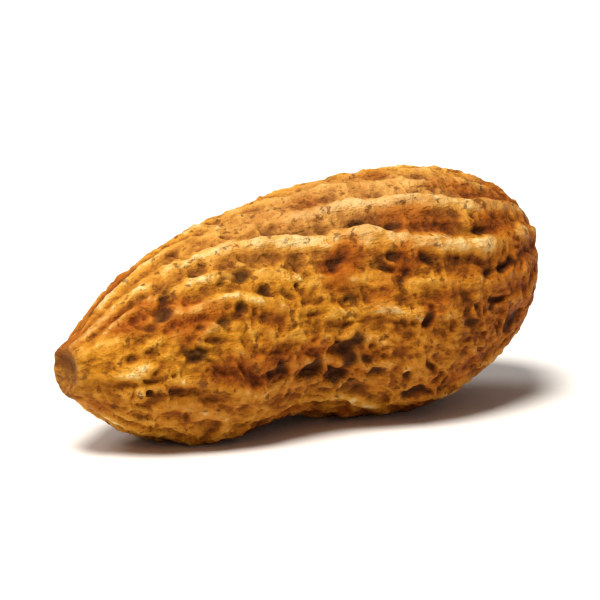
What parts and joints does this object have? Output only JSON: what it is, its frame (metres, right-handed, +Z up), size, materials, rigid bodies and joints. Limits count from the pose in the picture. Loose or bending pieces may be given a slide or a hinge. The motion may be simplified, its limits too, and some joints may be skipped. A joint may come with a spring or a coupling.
{
  "type": "peanut in its shell",
  "caption": "Unshelled peanut: a dry, ribbed pod with a soft waist between a small and a large lobe, lying on its side.",
  "frame": {"origin": "on the resting plane, under the middle of the pod's box", "axes": "+X along the pod from the stem end to the beak, +Z up from the resting plane"},
  "size_m": [0.0414, 0.0184, 0.018],
  "materials": {
    "pod_shell": "dry fibrous husk, matte"
  },
  "bodies": {
    "root": {"peanut_pod": "pod_shell"}
  },
  "joints": []
}
